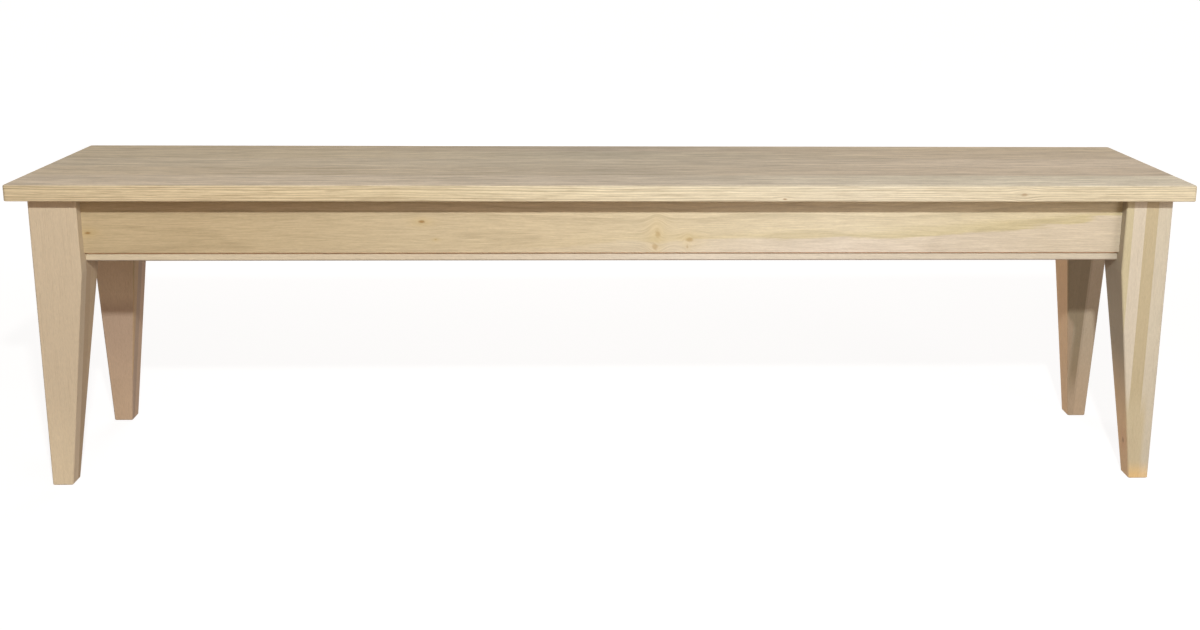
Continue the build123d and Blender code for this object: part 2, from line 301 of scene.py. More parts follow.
# What a maker would change about a piece of wood, before its own colours
plainWood = {
    "grain": "x",  # the axis that the grain runs along
    "pith": (0.03, -0.12),  # across and deep, from the board's middle
    "ringWidth": 0.0045,
    "wander": 0.02,
    "tone": (212, 189, 150),  # the mean colour, 0 to 255
    "spread": 0.09,  # how far the palest and the deepest wood stand from it
    "darkness": 0.76,  # knots and dashes
    # the tones along the bench are partly the wood's own and partly painted light
    "along": (),  # the mean colour at up to five places along the bench's X
    "shade": None,  # a shader group and its values, laid over the colour
    "ring": 0.35,
    "streak": 1.3,
    "line": 1.2,
    "dash": 0.15,
    "cloud": 0.9,
    "fibre": 0.24,
    "roughness": 0.62,
    "relief": 0.00012,
    "knots": (),  # (place, size, darkness, stretch)
    "knotTone": (150, 116, 76),
    "knotHalo": (196, 168, 120),
}

grainTurns = {
    "x": (0.0, 0.0, 0.0),
    "y": (0.0, 0.0, math.radians(90)),
    "z": (0.0, math.radians(-90), 0.0),
    "slantUp": (0.0, 0.0, math.radians(45)),
    "slantDown": (0.0, 0.0, math.radians(-45)),
}


def grainRotation(look):
    _, aboutY, aboutZ = grainTurns[look["grain"]]
    return Matrix.Rotation(aboutY, 3, "Y") @ Matrix.Rotation(aboutZ, 3, "Z")


def inGrain(point, look):  # a place on the bench, in the wood's own axes
    return grainRotation(look).inverted() @ (Vector(point) - Vector(look["middle"]))


def shadeOf(tone, *shares):
    shares = shares * 3 if len(shares) == 1 else shares
    return screenColour(*[channel * share for channel, share in zip(tone, shares)])


def gainOf(tone, other):  # what turns one tone into another
    return [b / a for a, b in zip(screenColour(*tone)[:3], screenColour(*other)[:3])]


def emptyTree(owner):  # a material's or a world's own tree
    owner.use_nodes = True
    owner.node_tree.nodes.clear()
    return owner.node_tree


def newMaterial(name):
    material = bpy.data.materials.new(name)
    tree = emptyTree(material)
    shader = addNode(tree, "ShaderNodeBsdfPrincipled")
    addNode(tree, "ShaderNodeOutputMaterial", {"Surface": shader.outputs[0]})
    return material, tree, shader


def tintAlong(tree, coords, colour, look):
    stops = list(look["along"])
    while len(stops) < toneStops:  # the last tone goes on past the bench's end
        stops.append((stops[-1][0] + 1.0, stops[-1][1]))
    values = {"Colour": colour, "Place": coords}
    for number, (x, tone) in enumerate(stops, 1):
        values[f"Stop {number}"] = x
        values[f"Gain {number}"] = gainOf(look["tone"], tone)
    return addGroup(tree, toneRun, values)["Colour"]


def tintKnot(tree, colour, knot, darkness, look):
    values = {"Colour": colour, "Core": knot["Core"], "Halo": knot["Halo"], "Darkness": darkness}
    values["Core Tone"] = screenColour(*look["knotTone"])
    values["Halo Tone"] = screenColour(*look["knotHalo"])
    return addGroup(tree, knotTint, values)["Colour"]


def finishInputs(look, grain):
    tone = look["tone"]
    spread = look["spread"]
    inputs = {label: grain[label] for label in grainLabels}
    inputs["Pale"] = shadeOf(tone, 1 + 0.9 * spread)
    inputs["Tan"] = shadeOf(tone, 1 - spread, 1 - 1.1 * spread, 1 - 1.3 * spread)
    inputs["Dark"] = shadeOf(tone, look["darkness"], look["darkness"] * 0.95, look["darkness"] * 0.88)
    inputs.update({label + " Strength": look[label.lower()] for label in grainStrengths})
    inputs["Base Roughness"] = look["roughness"]
    return inputs


# One board's finish. extra(tree, coords, colour, grain) adds what only that board has.
def woodMaterial(name, cut, extra=None):
    look = {**plainWood, **cut}
    material, tree, shader = newMaterial(name)
    coords = addNode(tree, "ShaderNodeTexCoord").outputs["Object"]
    mapping = {"Vector": coords, "Location": look["middle"], "Rotation": grainTurns[look["grain"]]}
    place = addNode(tree, "ShaderNodeMapping", mapping, vector_type="TEXTURE").outputs[0]
    knots = []
    for point, size, darkness, stretch in look["knots"]:
        inputs = {"Place": place, "Centre": inGrain(point, look), "Size": size, "Stretch": stretch}
        knot = addGroup(tree, knotField, inputs)
        place = knot["Place"]
        knots.append((knot, darkness))
    fields = addGroup(
        tree,
        grainField,
        {
            "Place": place,
            "Axis": grainRotation(look) @ Vector((1, 0, 0)),
            "Seed": look["seed"],
            "Pith Across": look["pith"][0],
            "Pith Deep": look["pith"][1],
            "Ring Width": look["ringWidth"],
            "Wander": look["wander"],
        },
    )
    grain = {label: fields[label] for label in grainLabels}
    grain["knots"] = knots
    finish = addGroup(tree, woodColour, finishInputs(look, grain))
    colour = finish["Colour"]
    for knot, darkness in knots:
        colour = tintKnot(tree, colour, knot, darkness, look)
    if look["along"]:
        colour = tintAlong(tree, coords, colour, look)
    if look["shade"]:
        group, values = look["shade"]
        colour = addGroup(tree, group, {"Colour": colour, "Place": coords, **values})["Colour"]
    if extra:
        colour = extra(tree, coords, colour, grain)
    feed(shader.inputs["Base Color"], colour)
    feed(shader.inputs["Roughness"], finish["Roughness"])
    bump = {"Height": finish["Height"], "Distance": look["relief"], "Strength": 1.0}
    feed(shader.inputs["Normal"], addNode(tree, "ShaderNodeBump", bump).outputs[0])
    shader.inputs["Specular IOR Level"].default_value = 0.4
    return material


def paint(node, material):
    for slot in nodes[node].material_slots:
        slot.material = material


def addObject(name, data):
    held = bpy.data.objects.new(name, data)
    bpy.context.scene.collection.objects.link(held)
    return held


def addPiece(name, mesh, material, slotName, *replaced):
    piece = addObject(name, mesh)
    if material is not None:
        mesh.materials.clear()
        mesh.materials.append(material)
    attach(piece, "root")
    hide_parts(*replaced)
    return piece


def boxMiddle(name):
    low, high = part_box(name)
    return (low + high) / 2


def arc(start, sweep, steps):  # the angles of an arc's points, from degrees
    return [math.radians(start + sweep * step / steps) for step in range(steps + 1)]


def bridge(shape, lower, upper):  # joins two rings of as many points
    for here, there in zip(range(-1, len(lower)), range(len(lower))):
        shape.faces.new((lower[here], lower[there], upper[there], upper[here]))


# The seat: one slab with rounded edges and corners, sawn into its boards
seat = {
    "upperRadius": 0.003,
    "lowerRadius": 0.0015,
    "cornerRadius": 0.0055,
    "edgeSteps": 6,
    "cornerSteps": 6,
    "flatMargin": 0.0004,  # keeps the shading of the flat faces flat
    "boards": ("front", "front_middle", "middle", "back_middle", "back"),
}


def slabOutline(low, high, inset):
    radius = seat["cornerRadius"] - inset
    turns = ((high.x, high.y, 0), (low.x, high.y, 90), (low.x, low.y, 180), (high.x, low.y, 270))
    points = []
    for x, y, start in turns:
        centreX = x - math.copysign(seat["cornerRadius"], x)
        centreY = y - math.copysign(seat["cornerRadius"], y)
        for angle in arc(start, 90, seat["cornerSteps"]):
            points.append((centreX + radius * math.cos(angle), centreY + radius * math.sin(angle)))
    return points


def roundedRim(z, radius, way):  # heights and insets from the slab's side to its flat face
    angles = arc(0, 90, seat["edgeSteps"])
    rim = [(z - way * radius * (1 - math.sin(a)), radius * (1 - math.cos(a))) for a in angles]
    return rim + [(z, radius + seat["flatMargin"])]


def seatSlab(low, high):
    levels = list(reversed(roundedRim(low.z, seat["lowerRadius"], -1)))
    levels += roundedRim(high.z, seat["upperRadius"], 1)
    slab = bmesh.new()
    rings = [
        [slab.verts.new((x, y, z)) for x, y in slabOutline(low, high, inset)]
        for z, inset in levels
    ]
    for below, above in zip(rings, rings[1:]):
        bridge(slab, below, above)
    slab.faces.new(list(reversed(rings[0])))
    slab.faces.new(rings[-1])
    return slab


def sawBoard(slab, lowY, highY):
    board = slab.copy()
    for place, facing in ((lowY, -1), (highY, 1)):
        if place is None:
            continue
        parts = board.verts[:] + board.edges[:] + board.faces[:]
        bmesh.ops.bisect_plane(
            board, geom=parts, plane_co=(0, place, 0), plane_no=(0, facing, 0), clear_outer=True
        )
        rim = [edge for edge in board.edges if edge.is_boundary]
        bmesh.ops.holes_fill(board, edges=rim, sides=0)
    bmesh.ops.recalc_face_normals(board, faces=board.faces)
    return board


def finishMesh(name, shape, sharpAngle=30):
    mesh = bpy.data.meshes.new(name)
    for face in shape.faces:
        face.smooth = True
    shape.to_mesh(mesh)
    shape.free()
    mesh.set_sharp_from_angle(angle=math.radians(sharpAngle))
    return mesh


seatWood = {
    "tone": (222, 203, 168),
    "spread": 0.11,
    "darkness": 0.80,
    "dash": 0.45,
    "ring": 0.2,
    "streak": 2.5,
    "line": 2.6,
    "fibre": 0.5,
    "ringWidth": 0.0034,
    "roughness": 0.58,
}

edgeKnot = (0.45, 0.0, 1.0)  # knots on a face that looks to the front
seatCuts = {
    "front": {
        "seed": 1.3,
        "pith": (0.02, 0.09),
        "along": ((-0.6, (197, 184, 161)), (0.0, (193, 182, 162)), (0.6, (214, 207, 186))),
        "knots": (
            ((0.271, -0.184, 0.474), 0.0022, 0.85, edgeKnot),
            ((0.643, -0.184, 0.481), 0.0035, 0.5, edgeKnot),
        ),
    },
    "front_middle": {
        "seed": 4.1,
        "pith": (-0.03, -0.08),
        "along": ((-0.5, (192, 178, 151)), (0.0, (183, 172, 150)), (0.6, (196, 182, 159))),
    },
    "middle": {
        "seed": 7.9,
        "pith": (0.05, 0.07),
        "along": ((-0.5, (191, 179, 154)), (0.0, (188, 178, 156)), (0.6, (204, 191, 169))),
    },
    "back_middle": {
        "seed": 11.2,
        "pith": (-0.06, -0.1),
        "along": ((-0.5, (191, 178, 150)), (0.0, (180, 171, 149)), (0.6, (198, 184, 159))),
    },
    "back": {
        "seed": 15.6,
        "pith": (0.01, -0.07),
        "along": ((-0.5, (188, 174, 145)), (0.0, (173, 161, 141)), (0.6, (201, 187, 160))),
    },
}

# The front edge shows the same board's rings from the side, as fine dark lines
frontEdge = {
    "tone": (216, 201, 171),
    "spread": 0.12,
    "darkness": 0.74,
    "ring": 1.45,
    "streak": 0.2,
    "line": 1.2,
    "dash": 0.5,
    "fibre": 0.2,
    "cloud": 0.3,
    "along": (
        (-0.6, (211, 197, 163)), (-0.33, (206, 194, 161)), (0.0, (216, 208, 180)),
        (0.4, (218, 212, 189)), (0.75, (210, 202, 174)),
    ),
}


def addFrontEdge(tree, coords, colour, grain):
    look = {**plainWood, **seatWood, **frontEdge}
    edge = addGroup(tree, woodColour, finishInputs(look, grain))["Colour"]
    for knot, darkness in grain["knots"]:
        edge = tintKnot(tree, edge, {"Core": knot["Core"], "Halo": 0.0}, darkness, look)
    edge = tintAlong(tree, coords, edge, look)
    return mixColour(remap(facing(tree, (0.0, -1.0, 0.0)), 0.55, 0.85), colour, edge)


def makeSeat():
    names = ["seat_board_" + board for board in seat["boards"]]
    boxes = [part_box(name) for name in names]
    slab = seatSlab(boxes[0][0], boxes[-1][1])
    for board, name, (low, high) in zip(seat["boards"], names, boxes):
        lowY = None if board == seat["boards"][0] else low.y
        highY = None if board == seat["boards"][-1] else high.y
        shape = sawBoard(slab, lowY, highY)
        cut = {**seatWood, "middle": (low + high) / 2, **seatCuts[board]}
        material = woodMaterial("ash_" + board, cut, addFrontEdge if board == "front" else None)
        label = board.title().replace("_", "")
        addPiece("seatBoard" + label, finishMesh("seatBoard" + label, shape), material, "seat_wood", name)
    slab.free()


makeSeat()
print("seat made")


# The legs: strips glued side by side, each with its own tone
legWood = {
    "grain": "z",
    "spread": 0.05,
    "darkness": 0.8,
    "dash": 0.1,
    "ring": 0.1,
    "streak": 0.3,
    "line": 0.4,
    "cloud": 1.0,
    "knotTone": (112, 100, 76),
    "knotHalo": (176, 146, 118),
    "ringWidth": 0.006,
    "wander": 0.012,
    "roughness": 0.66,
}

# Tones of each leg: its strips from the outer face inwards, and the faces that have one tone, partly their
# own and partly painted light and shade
# Each leg's foot tone is painted light that stands in for the floor's bounce, and back_left's top tone is
# painted light over the apron's shadow
legTones = {
    "front_left": {
        "strips": ((206, 192, 165), (172, 153, 124), (178, 160, 130), (170, 151, 122)),
        "sideStrips": (0,),
        "side": (189, 176, 151),
        "lowSideLight": (200, 186, 160),
        "footLight": (223, 209, 178),
        "footLightTop": 0.2,
    },
    "front_right": {
        "strips": ((197, 191, 171), (185, 174, 142), (205, 198, 179), (191, 183, 150)),
        "band": {"tone": (193, 183, 152), "x": (0.80, 0.8755), "soft": (0.001, 0.004), "z": (-0.1, 0.13)},
        "sideStrips": (0, 1, 2, 3),
        "side": (164, 155, 135),
        "lowSideLight": (220, 194, 156),
        "footLight": (226, 200, 152),
        "footLightTop": 0.035,
        "knots": {1: (((0.8506, -0.142, 0.0605), 0.0045, 0.75, (0.55, 1.0, 0.0)),)},
    },
    "back_left": {
        "strips": ((193, 171, 146), (170, 150, 130), (180, 156, 122), (170, 151, 116)),
        "front": (184, 163, 141),
        "footLight": (218, 194, 162),
        "footLightTop": 0.2,
        "top": (224, 207, 177),
    },
    "back_right": {
        "strips": ((173, 162, 141), (166, 155, 135), (160, 144, 122), (164, 145, 123)),
        "band": {"tone": (136, 125, 102), "x": (0.849, 0.8635), "soft": (0.006, 0.001), "z": (0.06, 0.6)},
        "sideStrips": (0, 1, 2, 3),
        "side": (239, 211, 173),
        "lowSideLight": (226, 200, 164),
        "footLight": (185, 167, 141),
        "footLightTop": 0.2,
    },
}


legFades = {
    "facing": (0.6, 0.9),  # how squarely a face has to look one way
    # the top's tone is painted light that lifts the leg where the apron's shadow falls
    "top": (0.2, 0.25),  # the heights between which the top's tone comes in
    "lowSideLight": (0.08, 0.24),
    "bandWidening": (0.17, 0.25, 0.05),  # from one height to another, and by how much
    "bandEnds": (0.04, 0.03),  # the softness of its foot and its head
}


def between(value, start, end, softStart, softEnd):  # 1 between two soft edges
    rise = remap(calc("DIVIDE", minus(value, start), softStart), -1.0, 1.0)
    fall = remap(calc("DIVIDE", minus(end, value), softEnd), -1.0, 1.0)
    return times(rise, fall)


# Tones over a leg's strips: painted light at its foot and over its shaded top, one band with soft edges,
# and faces of one tone
def makeLegShades():
    gains = ("Foot", "Top", "Front", "Side", "Low Side", "Band")
    inputs = {"Colour": "Color", "Place": "Vector", "Inward": (1.0, 0.0, 0.0)}
    inputs.update({label + " Gain": (1.0, 1.0, 1.0) for label in gains})
    inputs.update({"Foot Light Top": 0.2, "Band Start": 0.8, "Band End": 0.87, "Start Softness": 0.001})
    inputs.update({"End Softness": 0.001, "Band Foot": 0.0, "Band Head": 0.3})
    tree, given, result = newGroup("legShades", "Shader", inputs, colourOnly)
    x, _, z = split(given["Place"])
    innerSide = remap(facing(tree, given["Inward"]), *legFades["facing"])
    front = remap(facing(tree, (0.0, -1.0, 0.0)), *legFades["facing"])
    otherSides = minus(1.0, innerSide)

    low, high, widening = legFades["bandWidening"]
    start = minus(given["Band Start"], remap(z, low, high, 0.0, widening))
    across = between(x, start, given["Band End"], given["Start Softness"], given["End Softness"])
    upright = between(z, given["Band Foot"], given["Band Head"], *legFades["bandEnds"])
    band = times(across, upright)

    colour = tint(given["Colour"], band, given["Band Gain"])
    # painted light: the leg is lighter and warmer towards its foot, where the floor's bounce falls
    footLight = remap(z, 0.0, given["Foot Light Top"], 1.0, 0.0)
    colour = tint(colour, times(footLight, otherSides), given["Foot Gain"])
    # painted light over the leg's top, which lies in the apron's shadow
    top = remap(z, *legFades["top"])
    colour = tint(colour, times(top, otherSides), given["Top Gain"])
    colour = tint(colour, front, given["Front Gain"])
    # the inner side's one tone is partly the wood's own and partly painted light and shade, lighter low
    # down
    lowSideLight = remap(z, *legFades["lowSideLight"], 1.0, 0.0)
    sideGain = mixColour(lowSideLight, given["Side Gain"], given["Low Side Gain"])
    side = scaled(given["Colour"], sideGain)
    feed(result["Colour"], mixColour(innerSide, colour, side))
    return tree


legShades = makeLegShades()


def legShadeValues(tones, strip, inward):
    tone = tones["strips"][strip]
    values = {"Inward": (inward, 0.0, 0.0), "Foot Light Top": tones["footLightTop"]}
    values["Foot Gain"] = gainOf(tones["strips"][0], tones["footLight"])
    if "top" in tones:
        values["Top Gain"] = gainOf(tones["strips"][0], tones["top"])
    if "front" in tones:
        values["Front Gain"] = gainOf(tone, tones["front"])
    if strip in tones.get("sideStrips", ()):
        values["Side Gain"] = gainOf(tone, tones["side"])
        values["Low Side Gain"] = gainOf(tone, tones["lowSideLight"])
    if "band" in tones:
        band = tones["band"]
        values["Band Gain"] = gainOf(tone, band["tone"])
        values.update(zip(("Band Start", "Band End"), band["x"]))
        values.update(zip(("Start Softness", "End Softness"), band["soft"]))
        values.update(zip(("Band Foot", "Band Head"), band["z"]))
    return values


def makeLegs():
    for number, (leg, tones) in enumerate(legTones.items()):
        inward = 1.0 if leg.endswith("left") else -1.0
        for strip, tone in enumerate(tones["strips"]):
            name = f"leg_{leg}_strip_{strip + 1}"
            cut = {
                **legWood,
                "middle": boxMiddle(name),
                "seed": 2.7 * number + 0.61 * strip + 20,
                "pith": (0.05 - 0.03 * strip, 0.06),
                "tone": tone,
                "knots": tones.get("knots", {}).get(strip, ()),
                "shade": (legShades, legShadeValues(tones, strip, inward)),
            }
            paint(name, woodMaterial(name + "_wood", cut))


makeLegs()
print("legs painted")


# The aprons, with a band of heartwood that rises across the front one
apronWood = {
    "tone": (210, 191, 156),
    "spread": 0.08,
    "darkness": 0.78,
    "dash": 0.12,
    "ring": 0.6,
    "streak": 0.3,
    "line": 1.7,
    "cloud": 0.5,
    "knotTone": (166, 130, 78),
    "knotHalo": (208, 182, 128),
    "ringWidth": 0.0052,
    "wander": 0.03,
    "roughness": 0.66,
}

frontKnots = (
    ((-0.808, -0.141, 0.4112), 0.0030, 0.95, edgeKnot),
    ((-0.2913, -0.141, 0.4291), 0.0032, 0.9, edgeKnot),
    ((-0.2703, -0.141, 0.4002), 0.0013, 0.8, edgeKnot),
    ((0.0780, -0.141, 0.4095), 0.0058, 0.5, (1.0, 0.0, 0.55)),
    ((0.0740, -0.141, 0.3965), 0.0052, 0.48, (0.9, 0.0, 0.6)),
    ((0.1290, -0.141, 0.3995), 0.0054, 0.6, (0.6, 0.0, 1.0)),
    ((0.1250, -0.141, 0.3930), 0.0026, 0.4, (1.0, 0.0, 0.5)),
)

heartBand = {
    "line": (  # lower edge of the band, X and Z
        (-0.90, 0.361), (-0.30, 0.365), (-0.10, 0.386), (0.05, 0.397), (0.12, 0.3985), (0.30, 0.4012),
        (0.46, 0.4042), (0.56, 0.4107), (0.65, 0.4197), (0.73, 0.4252), (0.82, 0.4377),
    ),
    "lowX": -0.9,
    "highX": 0.9,
    "lowZ": 0.36,
    "highZ": 0.46,
    "edge": 0.003,
    "width": 0.02,
    "upperFade": (-0.2, 0.5),  # the X between which the tones come in
    "lowerFade": (-0.25, 0.4),
    "raggedness": 0.03,
    "pink": (216, 201, 178),
    "green": (207, 192, 153),
    "cream": (216, 201, 168),
}


def addHeartBand(tree, coords, colour, grain):
    band = heartBand
    spanX = band["highX"] - band["lowX"]
    spanZ = band["highZ"] - band["lowZ"]
    x, _, z = split(coords)
    reach = {0: x, 1: band["lowX"], 2: band["highX"]}
    share = addNode(tree, "ShaderNodeMapRange", reach).outputs[0]
    curve = addNode(tree, "ShaderNodeFloatCurve", {"Value": share})
    points = curve.mapping.curves[0].points
    places = [((x - band["lowX"]) / spanX, (z - band["lowZ"]) / spanZ) for x, z in band["line"]]
    places.append((1.0, places[-1][1]))
    points[0].location = places[0]
    points[-1].location = places[-1]
    for place in places[1:-1]:
        points.new(*place).handle_type = "AUTO_CLAMPED"
    curve.mapping.update()
    line = calc("MULTIPLY_ADD", curve.outputs[0], spanZ, band["lowZ"])
    wisp = calc("MULTIPLY_ADD", grain["Streak"], band["raggedness"], -band["raggedness"] / 2)
    above = plus(minus(z, line), wisp)
    below = remap(above, -band["edge"], band["edge"], 1.0, 0.0)
    right = remap(x, *band["upperFade"])
    tone = apronWood["tone"]
    keys = ("pink", "green", "cream")
    pink, green, cream = [scaled(colour, gainOf(tone, band[key])) for key in keys]
    near = remap(above, band["edge"], band["width"], 1.0, 0.0)
    upper = mixColour(near, cream, green)
    colour = mixColour(right, colour, upper)
    below = times(below, remap(x, *band["lowerFade"]))
    return mixColour(below, colour, pink)


def makeAprons():
    along = (
        (-0.65, (187, 171, 136)), (-0.3, (194, 181, 149)), (0.05, (200, 188, 157)),
        (0.37, (204, 192, 163)), (0.7, (195, 182, 149)),
    )
    cuts = {
        "front": {"seed": 31.0, "pith": (0.16, -0.02), "knots": frontKnots, "along": along},
        "back": {"seed": 35.4, "pith": (-0.12, 0.05)},
        "left_end": {"seed": 39.3, "grain": "y", "pith": (-0.09, -0.05)},
        "right_end": {"seed": 43.8, "grain": "y", "pith": (0.08, 0.06)},
    }
    for side, cut in cuts.items():
        name = "apron_" + side
        look = {**apronWood, "middle": boxMiddle(name), **cut}
        paint(name, woodMaterial(name + "_wood", look, addHeartBand if side == "front" else None))


makeAprons()
print("aprons painted")


# The beads: a half-round nose swept along each apron's lower edge, in front of a flat strip
bead = {
    "noseRadius": 0.0062,
    "noseOverlap": 0.0008,  # how far the nose runs into the strip behind it
    "endRounding": 0.0056,
    "noseSteps": 14,
    "endSteps": 7,
    "sharpAngle": 35,
    # painted light: a warm tone lighter than the wood, in the shaded groove above the nose
    "quirkPaintedLight": (250, 202, 154),  # the groove above the nose
    "quirkLightFade": 0.0012,
    # painted shade: a dark grey line on the nose's underside
    "underPaintedShade": (128, 114, 98),
    "underShadeFade": (0.0006, 0.0022),  # heights above the nose's lowest line
}

beadWood = {
    "tone": (226, 206, 178),
    "spread": 0.06,
    "dash": 0.08,
    "ring": 0.2,
    "streak": 0.9,
    "roughness": 0.6,
    "along": (
        (-0.7, (208, 197, 170)), (-0.3, (203, 192, 168)), (0.1, (213, 206, 189)), (0.7, (194, 187, 168)),
    ),
}


def profileCurve():  # half a circle that bulges along -X, closed by a flat back
    radius = bead["noseRadius"]
    points = [(radius * math.cos(a), radius * math.sin(a)) for a in arc(90, 180, bead["noseSteps"])]
    points += [(bead["noseOverlap"], -radius), (bead["noseOverlap"], radius)]
    return polyCurve("beadProfile", [(x, y, 0.0) for x, y in points], True)


def polyCurve(name, points, closed=False):
    curve = bpy.data.curves.new(name, "CURVE")
    curve.dimensions = "3D"
    spline = curve.splines.new("POLY")
    spline.points.add(len(points) - 1)
    for point, place in zip(spline.points, points):
        point.co = (*place, 1.0)
    spline.use_cyclic_u = closed
    return addObject(name, curve)


def beadPath(length):  # close points near both ends, where the nose is rounded off
    rounding = bead["endRounding"]
    near = [rounding * (1 - math.cos(a)) for a in arc(0, 90, bead["endSteps"])]
    near[0] = rounding * 0.004
    places = [-length / 2 + d for d in near] + [length / 2 - d for d in reversed(near)]
    return polyCurve("beadPath", [(x, 0.0, 0.0) for x in places])


def endWith(tree, geometry, given, result):  # makes instances real and gives them the material
    real = addNode(tree, "GeometryNodeRealizeInstances", {0: geometry}).outputs[0]
    painted = {"Geometry": real, "Material": given["Material"]}
    feed(result["Geometry"], addNode(tree, "GeometryNodeSetMaterial", painted).outputs[0])


def bakeNodes(held, tree, values):  # runs the tree on an object and keeps the plain mesh
    modifier = held.modifiers.new(tree.name, "NODES")
    modifier.node_group = tree
    for item in tree.interface.items_tree:
        if item.name in values:
            modifier[item.identifier] = values[item.name]
    bpy.context.view_layer.update()
    depsgraph = bpy.context.evaluated_depsgraph_get()
    mesh = bpy.data.meshes.new_from_object(held.evaluated_get(depsgraph), depsgraph=depsgraph)
    held.modifiers.clear()
    bpy.data.objects.remove(held)
    return mesh


def makeBeadTree():
    inputs = {"Geometry": "Geometry", "Profile": "Object", "End Rounding": "Float"}
    inputs.update({"Strip Size": "Vector", "Strip Middle": "Vector", "Material": "Material"})
    tree, given, result = newGroup("beadRun", "Geometry", inputs, {"Geometry": "Geometry"})
    along = addNode(tree, "GeometryNodeSplineParameter").outputs["Length"]
    whole = addNode(tree, "GeometryNodeSplineLength").outputs["Length"]
    fromEnd = calc("MINIMUM", along, minus(whole, along))
    reach = calc("DIVIDE", fromEnd, given["End Rounding"], clamp=True)
    drop = minus(1.0, reach)
    height = calc("SQRT", minus(1.0, times(drop, drop)))
    height = calc("MAXIMUM", height, 0.05)
    profile = addNode(tree, "GeometryNodeObjectInfo", {"Object": given["Profile"]}).outputs["Geometry"]
    sweep = {"Curve": given["Geometry"], "Profile Curve": profile, "Scale": height, "Fill Caps": True}
    nose = addNode(tree, "GeometryNodeCurveToMesh", sweep).outputs[0]
    strip = addNode(tree, "GeometryNodeMeshCube", {"Size": given["Strip Size"]}).outputs[0]
    moved = {"Geometry": strip, "Translation": given["Strip Middle"]}
    strip = addNode(tree, "GeometryNodeTransform", moved).outputs[0]
    joined = addNode(tree, "GeometryNodeJoinGeometry")
    tree.links.new(strip, joined.inputs[0])
    tree.links.new(nose, joined.inputs[0])
    endWith(tree, joined.outputs[0], given, result)
    return tree


# Painted light and shade on a bead: a lighter warm tone of painted light in the groove above the nose, and
# a dark grey line of painted shade along its underside
def makeBeadPaintedShading():
    inputs = {"Colour": "Color", "Place": "Vector", "Nose Foot": 0.365, "Nose Height": 0.012}
    inputs.update({"Quirk Painted Light": (0.9, 0.6, 0.3, 1.0), "Under Painted Shade": (0.2, 0.2, 0.1, 1.0)})
    tree, given, result = newGroup("beadPaintedShading", "Shader", inputs, colourOnly)
    height = split(given["Place"])["Z"]
    height = minus(height, given["Nose Foot"])
    # painted light in the groove above the nose
    quirkLit = remap(minus(height, given["Nose Height"]), -bead["quirkLightFade"], 0.0)
    colour = mixColour(quirkLit, given["Colour"], given["Quirk Painted Light"])
    # painted shade along the underside of the nose
    underShade = remap(height, *bead["underShadeFade"], 1.0, 0.0)
    feed(result["Colour"], mixColour(underShade, colour, given["Under Painted Shade"]))
    return tree


def makeBeads():
    tree = makeBeadTree()
    beadPaintedShading = makeBeadPaintedShading()
    profile = profileCurve()
    turns = {"front": 0, "right_end": 90, "back": 180, "left_end": 270}
    for number, (side, degrees) in enumerate(turns.items()):
        name = "bead_" + side
        low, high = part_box(name)
        middle = (low + high) / 2
        lying = side in ("front", "back")
        length, depth = (high - low).xy if lying else (high - low).yx
        height = high.z - low.z
        radius = bead["noseRadius"]
        look = {**beadWood, "middle": middle, "seed": 50 + 3.3 * number, "grain": "x" if lying else "y"}
        shadeValues = {
            "Nose Foot": low.z,
            "Nose Height": 2 * radius,
            "Quirk Painted Light": screenColour(*bead["quirkPaintedLight"]),
            "Under Painted Shade": screenColour(*bead["underPaintedShade"]),
        }
        material = woodMaterial(name + "_wood", {**look, "shade": (beadPaintedShading, shadeValues)})
        values = {
            "Profile": profile,
            "End Rounding": bead["endRounding"],
            "Strip Size": (length, depth - radius, height),
            "Strip Middle": (0.0, (depth - radius) / 2, height / 2 - radius),
            "Material": material,
        }
        mesh = bakeNodes(beadPath(length), tree, values)
        noseLine = Vector((middle.x, middle.y, low.z + radius))
        turn = Matrix.Rotation(math.radians(degrees), 4, "Z")
        outward = turn @ Vector((0.0, -1.0, 0.0))
        noseLine += outward * (depth / 2 - radius)
        mesh.transform(Matrix.Translation(noseLine) @ turn)
        for face in mesh.polygons:
            face.use_smooth = True
        mesh.set_sharp_from_angle(angle=math.radians(bead["sharpAngle"]))
        label = "bead" + side.title().replace("_", "")
        addPiece(label, mesh, material, "bead_wood", name)
    bpy.data.objects.remove(profile)


makeBeads()
print("beads made")


# The hidden pieces: rails, braces and buttons
innerWood = {
    "tone": (202, 176, 134),
    "spread": 0.1,
    "dash": 0.2,
    "ring": 0.45,
    "streak": 1.4,
    "roughness": 0.7,
}


def makeInnerPieces():
    slants = {"front_left": "slantDown", "front_right": "slantUp", "back_left": "slantUp"}
    kinds = ("cross_rail", "corner_brace", "seat_button")
    for number, name in enumerate(name for name in sorted(nodes) if name.startswith(kinds)):
        if name.startswith("corner_brace"):
            grain = slants.get(name.removeprefix("corner_brace_"), "slantDown")
        else:
            grain = "x" if name.endswith("_end") else "y"
        look = {**innerWood, "middle": boxMiddle(name), "seed": 70 + 1.9 * number, "grain": grain}
        paint(name, woodMaterial(name + "_wood", look))


makeInnerPieces()
print("inner pieces painted")


# The screws, each a head with a crossed slot, a shank and a winding thread
screw = {
    "headRadius": 0.0041,
    "headHeight": 0.0026,
    "headCrown": 0.0009,
    "slotLength": 0.005,
    "slotWidth": 0.001,
    "slotDepth": 0.0015,
    "radius": 0.0021,
    "coreRadius": 0.00145,
    "plainShank": 0.005,
    "pitch": 0.0018,
    "pointLength": 0.0045,
    "sides": 24,
    "threadSteps": 16,  # per turn
}


def ringOf(shape, radius, z, sides):
    angles = [2 * math.pi * k / sides for k in range(sides)]
    return [shape.verts.new((radius * math.cos(a), radius * math.sin(a), z)) for a in angles]


